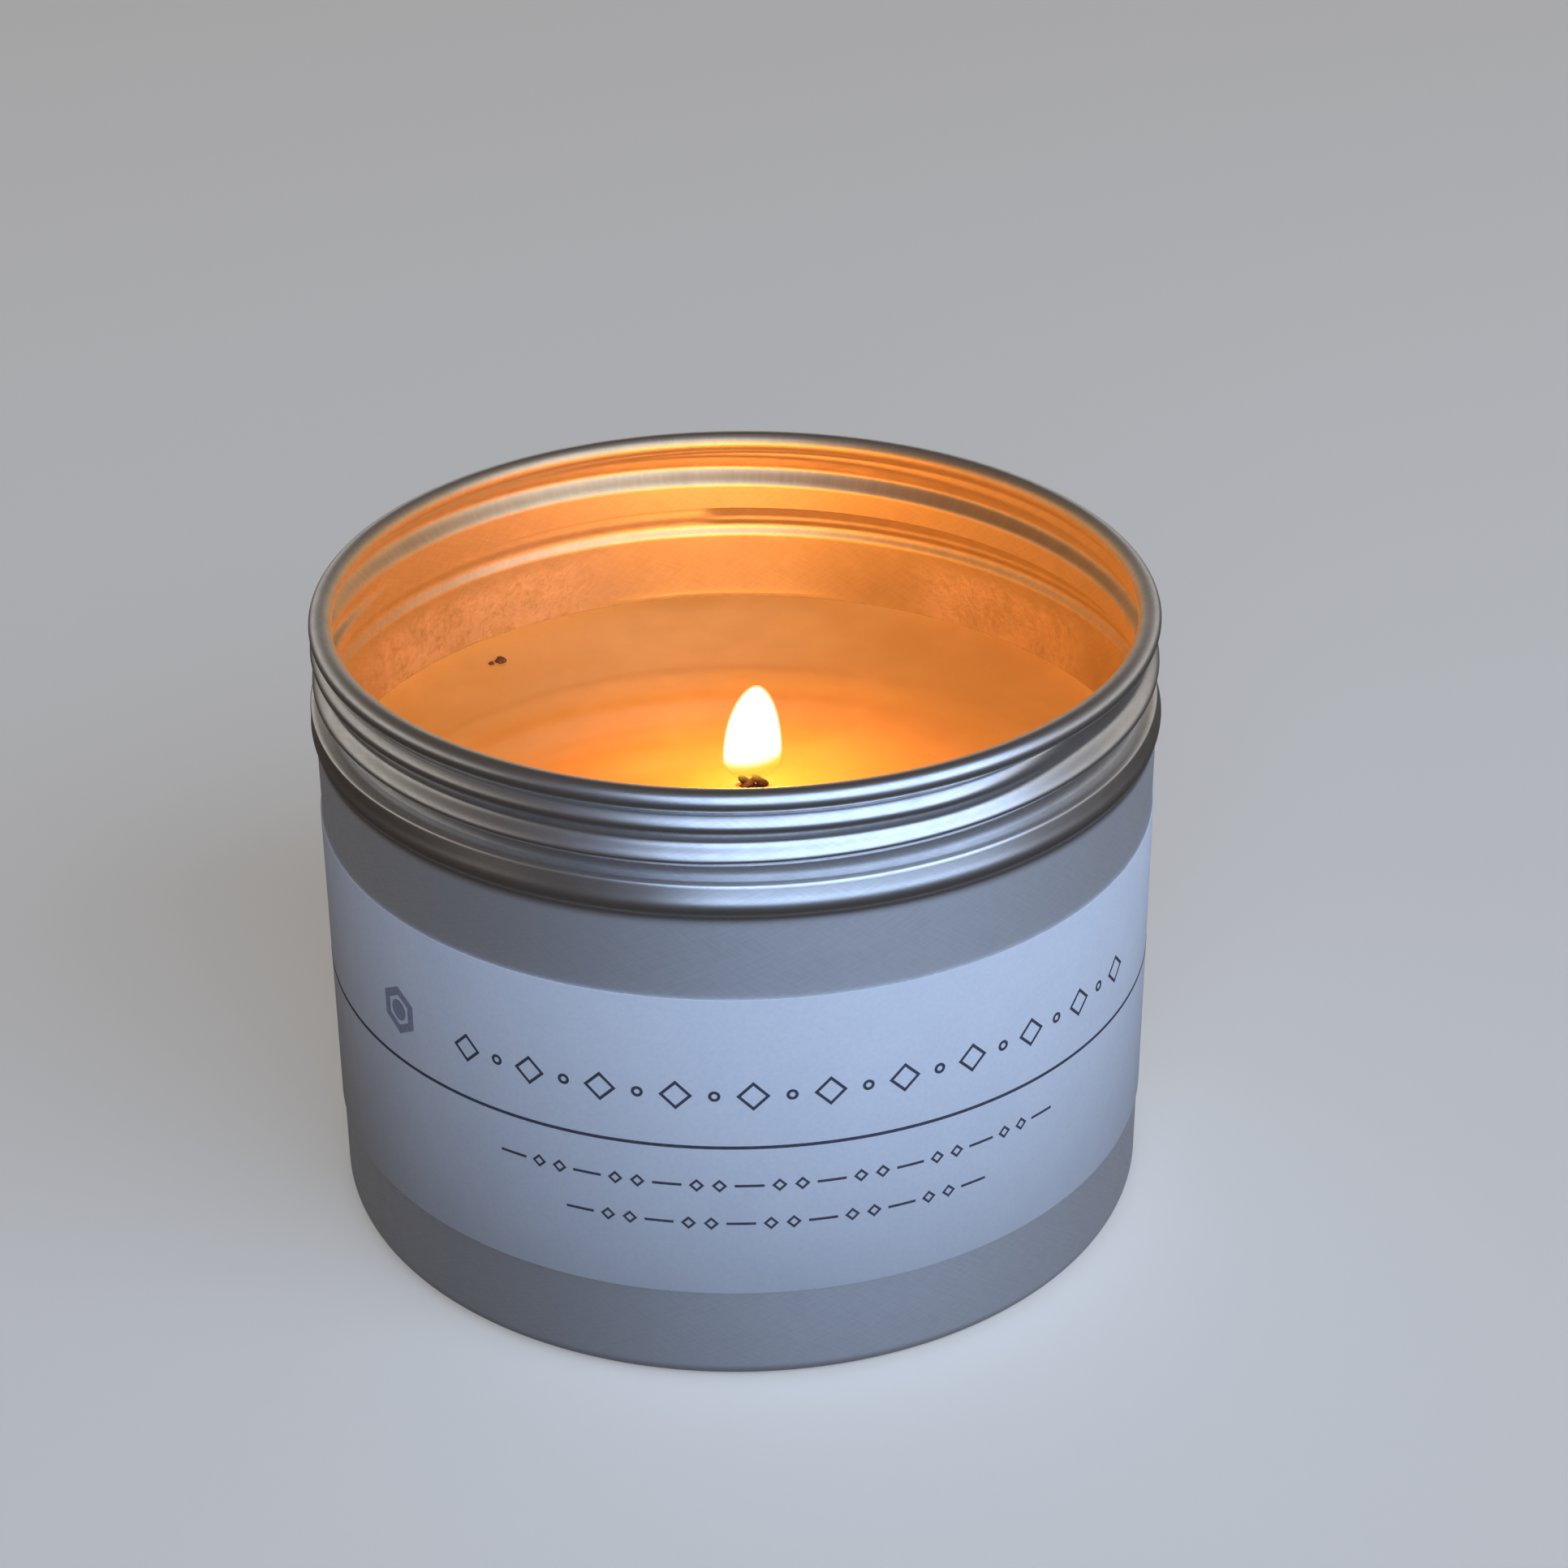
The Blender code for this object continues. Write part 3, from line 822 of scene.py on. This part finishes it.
def makeWick(mat):
    bm = bmesh.new()
    for strand, stands in enumerate(wick["tops"]):
        top = poolTop + stands
        count = int((top - wickLow.z) / wick["ringStep"])
        ring = bmesh.ops.create_circle(bm, cap_ends=True, segments=wick["sides"], radius=1.0)["verts"]
        face = ring[0].link_faces[0]
        spots = []
        for i in range(count + 1):
            z = wickLow.z + (top - wickLow.z) * i / count
            phase = math.tau * ((z - wickLow.z) / wick["pitch"] + strand / 3)
            x = wickX + wick["sway"] * math.sin(phase)
            y = wickY + wick["over"] * math.sin(2 * phase)
            spots.append(Vector((x, y, z)))
        for i, spot in enumerate(spots):
            if i:
                made = bmesh.ops.extrude_discrete_faces(bm, faces=[face])["faces"]
                face = made[0]
                ring = list(face.verts)
            shrink = 1.0 - 0.45 * softStep(count - 2.5, count, i)
            wobble = 1.0 + 0.05 * math.sin(i * 2.4 + strand * 2)
            angleStep = math.tau / len(ring)
            for k, vert in enumerate(ring):
                vert.co.x = spot.x + wick["strandWidth"] * shrink * wobble * math.cos(k * angleStep)
                vert.co.y = spot.y + wick["strandDepth"] * shrink * wobble * math.sin(k * angleStep)
                vert.co.z = spot.z
    return finishPiece("braidedWick", bm, mat, ["wick"], 60.0)


def braidedCotton():
    # flat braided cotton: soaked with wax, burnt black-brown at the top, with a dull ember
    mat, shader = newMaterial("braidedCottonWick", {"Roughness": 0.8})
    place = objectMm(mat)
    z = addNode(mat, "SeparateXYZ", inputs={0: place}).outputs[2]
    settings = {"wave_type": "BANDS", "bands_direction": "DIAGONAL"}
    inputs = {"Vector": place, "Scale": wick["yarnScale"], "Distortion": 1.5, "Detail": 2.0}
    yarn = addNode(mat, "TexWave", settings, inputs).outputs["Fac"]
    fuzz = noiseOf(mat, place, 0.2, 4.0)
    soak = remap(mat, z, poolTop / mm - 9, poolTop / mm, 0.0, 1.0)
    cotton = mixColour(mat, soak, linear(wick["cotton"]), linear(wick["soaked"]))
    jagged = math2(mat, "ADD", z, math2(mat, "MULTIPLY", fuzz, 0.8))
    burnt = remap(mat, jagged, poolTop / mm + 0.1, poolTop / mm + 0.7, 0.0, 1.0, "SMOOTHSTEP")
    colour = mixColour(mat, burnt, cotton, linear(wick["char"]))
    grooved = mixColour(mat, math2(mat, "MULTIPLY", yarn, 0.25), colour, linear(wick["char"]))
    plug(mat, grooved, shader.inputs["Base Color"])
    plug(mat, remap(mat, fuzz, 0.3, 0.7, 0.65, 0.9), shader.inputs["Roughness"])
    hot = math2(mat, "MULTIPLY", burnt, remap(mat, fuzz, 0.5, 0.65, 0.0, 1.0))
    plug(mat, mixColour(mat, hot, (0, 0, 0, 1), linear(wick["ember"])), shader.inputs["Emission Color"])
    shader.inputs["Emission Strength"].default_value = wick["emberGlow"]
    plug(mat, bumpFrom(mat, math2(mat, "ADD", yarn, fuzz), 0.05 * mm, 0.8), shader.inputs["Normal"])
    return mat


holder = {
    "segments": 96,
    "radius": 10.0 * mm,
    "sheet": 0.3 * mm,
    "boreRadius": 1.6 * mm,
    "neckRadius": 2.05 * mm,
    "edge": 0.06 * mm,
    "grooveFrom": 4.0 * mm,  # a shallow groove under the flange, deepest at grooveTo
    "grooveTo": 7.0 * mm,
    "grooveDepth": 0.05 * mm,
    "neckBend": 0.5 * mm,
    "ringScale": 1.6,  # press marks 0.2 mm apart
    "steel": "#d2d3d3",
    "steelShade": "#b4b5b7",
    "foamEdge": 0.08 * mm,
    "foamWaist": 0.05 * mm,
    "cellScale": 4.0,  # cells 0.25 mm across
    "foam": "#efeee9",
    "paintedPitShade": "#dcdad2",
}


def makeWickTab(mat):
    low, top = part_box("wick_tab")
    edge = holder["edge"]
    flange = low.z + holder["sheet"]
    bore, neck, rim, fold = (holder[key] for key in ("boreRadius", "neckRadius", "radius", "neckBend"))
    section = [(bore, low.z + edge), (bore + edge, low.z), (holder["grooveFrom"], low.z)]
    section += [(holder["grooveTo"], low.z + holder["grooveDepth"])]
    section += [(rim - edge, low.z), (rim, low.z + edge)]
    section += [(rim, flange - edge), (rim - edge, flange)]
    section += [(holder["grooveTo"], flange), (holder["grooveFrom"], flange)]
    section += arc(neck + fold, flange + fold, fold, fold, 270.0, 180.0, 6)
    section += [(neck, top.z - edge), (neck - edge, top.z), (bore + edge, top.z), (bore, top.z - edge)]
    bm = spinSection(section, holder["segments"], True)
    bmesh.ops.translate(bm, verts=bm.verts, vec=(wickX, wickY, 0.0))
    return finishPiece("wickSustainer", bm, mat, ["wick_tab"])


def tinnedSteel():
    # tinned steel strip, blanked and drawn: bright with faint rings from the press tool
    mat, shader = newMaterial("tinnedSteelSustainer", {"Metallic": 1.0})
    coords = addNode(mat, "TexCoord").outputs["Object"]
    inputs = {"Vector": coords, "Location": (-wickX / mm, -wickY / mm, 0.0), "Scale": (1 / mm,) * 3}
    centred = addNode(mat, "Mapping", inputs=inputs).outputs[0]
    settings = {"wave_type": "RINGS", "rings_direction": "Z"}
    inputs = {"Vector": centred, "Scale": holder["ringScale"], "Distortion": 0.6, "Detail": 2.0}
    rings = addNode(mat, "TexWave", settings, inputs).outputs["Fac"]
    spots = noiseOf(mat, centred, 1.2, 4.0)
    colour = mixColour(mat, spots, linear(holder["steelShade"]), linear(holder["steel"]))
    plug(mat, colour, shader.inputs["Base Color"])
    plug(mat, remap(mat, spots, 0.3, 0.7, 0.22, 0.38), shader.inputs["Roughness"])
    plug(mat, bumpFrom(mat, rings, 0.004 * mm, 0.6), shader.inputs["Normal"])
    return mat


def makeSticker(mat):
    low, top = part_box("wick_sticker")
    radius = (top.x - low.x) / 2
    edge = holder["foamEdge"]
    waist = (radius - holder["foamWaist"], (low.z + top.z) / 2)
    section = [(0.0, low.z), (radius - edge, low.z), (radius, low.z + edge), waist,
               (radius, top.z - edge), (radius - edge, top.z), (0.0, top.z)]
    bm = spinSection(section, holder["segments"], False)
    bmesh.ops.translate(bm, verts=bm.verts, vec=(wickX, wickY, 0.0))
    return finishPiece("foamDot", bm, mat, ["wick_sticker"])


def foamAdhesive():
    # closed-cell foam with glue on both faces: white, matt, pitted with small cells
    mat, shader = newMaterial("foamAdhesiveDot", {"Roughness": 0.85})
    place = objectMm(mat)
    inputs = {"Vector": place, "Scale": holder["cellScale"]}
    cells = addNode(mat, "TexVoronoi", {"feature": "F1"}, inputs).outputs["Distance"]
    # the pits are painted darker: painted shade in the cells
    share = remap(mat, cells, 0.1, 0.6, 0.0, 1.0)
    colour = mixColour(mat, share, linear(holder["paintedPitShade"]), linear(holder["foam"]))
    plug(mat, colour, shader.inputs["Base Color"])
    plug(mat, remap(mat, cells, 0.0, 0.7, 0.75, 0.92), shader.inputs["Roughness"])
    plug(mat, bumpFrom(mat, cells, 0.06 * mm, 0.7), shader.inputs["Normal"])
    return mat


makeMeltPool(meltedWax())
makeWick(braidedCotton())
makeWickTab(tinnedSteel())
makeSticker(foamAdhesive())
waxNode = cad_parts["wax_fill"]
waxNode.data.materials.clear()
waxNode.data.materials.append(setWax())
print("wax, wick and holder made")


# the flame, its glow and the burnt crumb
flame = {
    "base": 35.3 * mm,
    "top": 43.35 * mm,
    "widestAt": 37.0 * mm,
    "halfWidth": 2.25 * mm,
    "depthShare": 0.8,
    "tipLean": 0.4 * mm,
    "veil": 0.12 * mm,
    "rows": 40,
    "segments": 48,
    "leanSlope": 0.17,  # the hem climbs to the right
    # hem colour, heart colour, heart strength, cover, hem height and fade in millimetres
    "coreLight": ("#ffe23c", "#fffdf2", 1.8, 1.0, 36.45, 1.0),
    "veilLight": ("#ffb347", "#ffe08a", 1.4, 0.35, 36.0, 1.1),
    "hemStrength": 1.05,
    "glowPower": 0.0265,
    "glowColour": "#ffa93c",
    "glowHeight": 44.0 * mm,
    "glowRadius": 3.0 * mm,
}


def flameHalfWidth(z):
    if z > flame["widestAt"]:
        share = (flame["top"] - z) / (flame["top"] - flame["widestAt"])
        return flame["halfWidth"] * (1 - (1 - share) ** 2.2) ** 0.6
    share = (z - flame["base"]) / (flame["widestAt"] - flame["base"])
    return flame["halfWidth"] * (0.35 + 0.65 * math.sin(share * math.pi / 2))


def makeFlame(name, mat, grow):
    rows = flame["rows"]
    section = [(0.0, flame["base"] - grow)]
    for i in range(rows):
        share = 1 - (1 - i / (rows - 1)) ** 2 if i else 0.0
        z = flame["base"] + (flame["top"] - flame["base"]) * min(share, 0.9995)
        section.append((flameHalfWidth(z) + grow, z + grow * (2 * share - 1)))
    section.append((0.0, flame["top"] + grow))
    bm = spinSection(section, flame["segments"], False)
    for vert in bm.verts:
        up = (vert.co.z - flame["base"]) / (flame["top"] - flame["base"])
        vert.co.x += wickX + flame["tipLean"] * up * up
        vert.co.y = wickY + vert.co.y * flame["depthShare"]
    piece = finishPiece(name, bm, mat, (), 80.0)
    piece.visible_shadow = False
    return piece


def flameLight(name, hemColour, heartColour, strength, cover, hemHeight, fade):
    # burning wax vapour: white-hot above, yellow at its hem, clear round the wick
    values = {"Base Color": (0, 0, 0, 1), "Roughness": 1.0, "Specular IOR Level": 0.0}
    mat, shader = newMaterial(name, values)
    place = objectMm(mat)
    x, _, z = addNode(mat, "SeparateXYZ", inputs={0: place}).outputs
    slope = math2(mat, "MULTIPLY", math2(mat, "SUBTRACT", x, wickX / mm), flame["leanSlope"])
    height = math2(mat, "SUBTRACT", math2(mat, "SUBTRACT", z, slope), hemHeight)
    wave = noiseOf(mat, place, 2.0, 1.0)
    uneven = math2(mat, "ADD", height, math2(mat, "MULTIPLY", math2(mat, "SUBTRACT", wave, 0.5), 0.25))
    hot = remap(mat, uneven, fade * 0.5, fade * 1.5, 0.0, 1.0, "SMOOTHSTEP")
    colour = mixColour(mat, hot, linear(hemColour), linear(heartColour))
    alpha = remap(mat, uneven, -fade * 0.6, fade * 0.5, 0.0, cover, "SMOOTHSTEP")
    plug(mat, colour, shader.inputs["Emission Color"])
    plug(mat, remap(mat, hot, 0.0, 1.0, flame["hemStrength"], strength), shader.inputs["Emission Strength"])
    plug(mat, alpha, shader.inputs["Alpha"])
    return mat


def makeGlow():
    data = bpy.data.lights.new("flameGlow", "POINT")
    data.energy = flame["glowPower"]
    data.color = linear(flame["glowColour"])[:3]
    data.shadow_soft_size = flame["glowRadius"]
    lamp = bpy.data.objects.new("flameGlow", data)
    lamp.location = (wickX, wickY, flame["glowHeight"])
    bpy.context.scene.collection.objects.link(lamp)


crumb = {
    "spot": (-20.4 * mm, 20.7 * mm),
    "size": 0.45 * mm,
    "flakes": ((0.0, 0.0, 1.0), (-0.75 * mm, -0.5 * mm, 0.5)),  # x, y and share of the size
    "lift": 0.1 * mm,
    "lumps": 0.3 * mm,
    "charDark": "#3d2112",
    "charPale": "#8c5830",
}


def makeCrumb(mat):
    bm = bmesh.new()
    for dx, dy, size in crumb["flakes"]:
        made = bmesh.ops.create_icosphere(bm, subdivisions=3, radius=crumb["size"] * size)["verts"]
        for vert in made:
            rough = noise.noise(vert.co / crumb["lumps"] + Vector((dx / mm, 3.0, 1.0)))
            vert.co *= 1.0 + 0.35 * rough
            vert.co.z *= 0.7
        spot = (crumb["spot"][0] + dx, crumb["spot"][1] + dy, poolTop + crumb["lift"])
        bmesh.ops.translate(bm, verts=made, vec=spot)
    return finishPiece("burntCrumb", bm, mat, (), 80.0)


def charredCotton():
    # a flake of burnt wick: dull brown-black and crumbly
    mat, shader = newMaterial("charredCotton", {"Roughness": 0.9})
    place = objectMm(mat)
    crumbs = noiseOf(mat, place, 0.25, 4.0)
    colour = mixColour(mat, crumbs, linear(crumb["charDark"]), linear(crumb["charPale"]))
    plug(mat, colour, shader.inputs["Base Color"])
    plug(mat, remap(mat, crumbs, 0.3, 0.7, 0.8, 0.95), shader.inputs["Roughness"])
    plug(mat, bumpFrom(mat, crumbs, 0.06 * mm, 0.8), shader.inputs["Normal"])
    return mat


makeFlame("flameCore", flameLight("candleFlameCore", *flame["coreLight"]), 0.0)
makeFlame("flameVeil", flameLight("candleFlameVeil", *flame["veilLight"]), flame["veil"])
makeGlow()
makeCrumb(charredCotton())
print("flame made")
